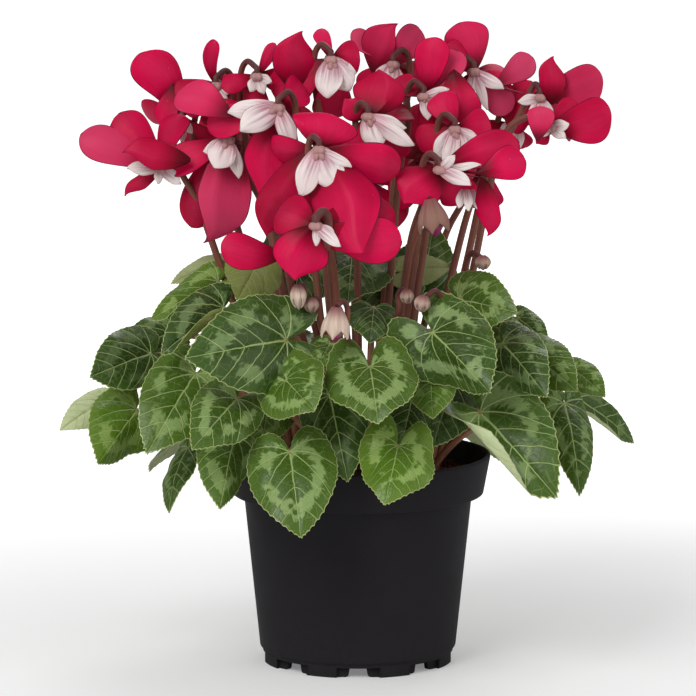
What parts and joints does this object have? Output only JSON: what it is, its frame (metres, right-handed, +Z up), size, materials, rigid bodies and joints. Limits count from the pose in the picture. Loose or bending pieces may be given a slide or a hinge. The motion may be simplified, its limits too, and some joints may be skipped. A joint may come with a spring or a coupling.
{
  "type": "potted cyclamen",
  "caption": "Florist's cyclamen in a black grower's pot: crimson swept-back blooms with pale calyxes on hooked stalks over marbled heart-shaped leaves.",
  "frame": {"origin": "under the pot's axis, on the surface the pot stands on", "axes": "+Z up along the pot's axis, -Y towards the front of the plant, +X to its right seen from the front"},
  "size_m": [0.2634, 0.2044, 0.2903],
  "materials": {
    "pot_plastic": "satin",
    "potting_soil": "rough",
    "stalk_skin": "satin",
    "petal": "satin",
    "sepal": "matte",
    "bud": "matte",
    "leaf": "satin"
  },
  "bodies": {
    "root": {"pot": "pot_plastic", "soil": "potting_soil", "crown": "stalk_skin", "bloom_01_petals": "petal", "bloom_01_calyx": "sepal", "bloom_02_petals": "petal", "bloom_02_calyx": "sepal", "bloom_03_petals": "petal", "bloom_03_calyx": "sepal", "bloom_04_petals": "petal", "bloom_04_calyx": "sepal", "bloom_05_petals": "petal", "bloom_05_calyx": "sepal", "bloom_06_petals": "petal", "bloom_06_calyx": "sepal", "bloom_07_petals": "petal", "bloom_07_calyx": "sepal", "bloom_08_petals": "petal", "bloom_08_calyx": "sepal", "bloom_09_petals": "petal", "bloom_09_calyx": "sepal", "bloom_10_petals": "petal", "bloom_10_calyx": "sepal", "bloom_11_petals": "petal", "bloom_11_calyx": "sepal", "bloom_12_petals": "petal", "bloom_12_calyx": "sepal", "bloom_13_petals": "petal", "bloom_13_calyx": "sepal", "bloom_14_petals": "petal", "bloom_14_calyx": "sepal", "bloom_15_petals": "petal", "bloom_15_calyx": "sepal", "bloom_16_petals": "petal", "bloom_16_calyx": "sepal", "bloom_17_petals": "petal", "bloom_17_calyx": "sepal", "bloom_18_petals": "petal", "bloom_18_calyx": "sepal", "bloom_19_petals": "petal", "bloom_19_calyx": "sepal", "bloom_20_petals": "petal", "bloom_20_calyx": "sepal", "bloom_21_petals": "petal", "bloom_21_calyx": "sepal", "bloom_22_petals": "petal", "bloom_22_calyx": "sepal", "bud_opening": "bud", "bud_brown": "bud", "leaves_01": "leaf", "leaves_02": "leaf", "leaves_03": "leaf", "leaves_04": "leaf", "leaves_05": "leaf", "leaves_06": "leaf", "leaves_07": "leaf", "leaves_08": "leaf", "leaves_09": "leaf", "leaves_10": "leaf", "leaves_11": "leaf"}
  },
  "joints": []
}
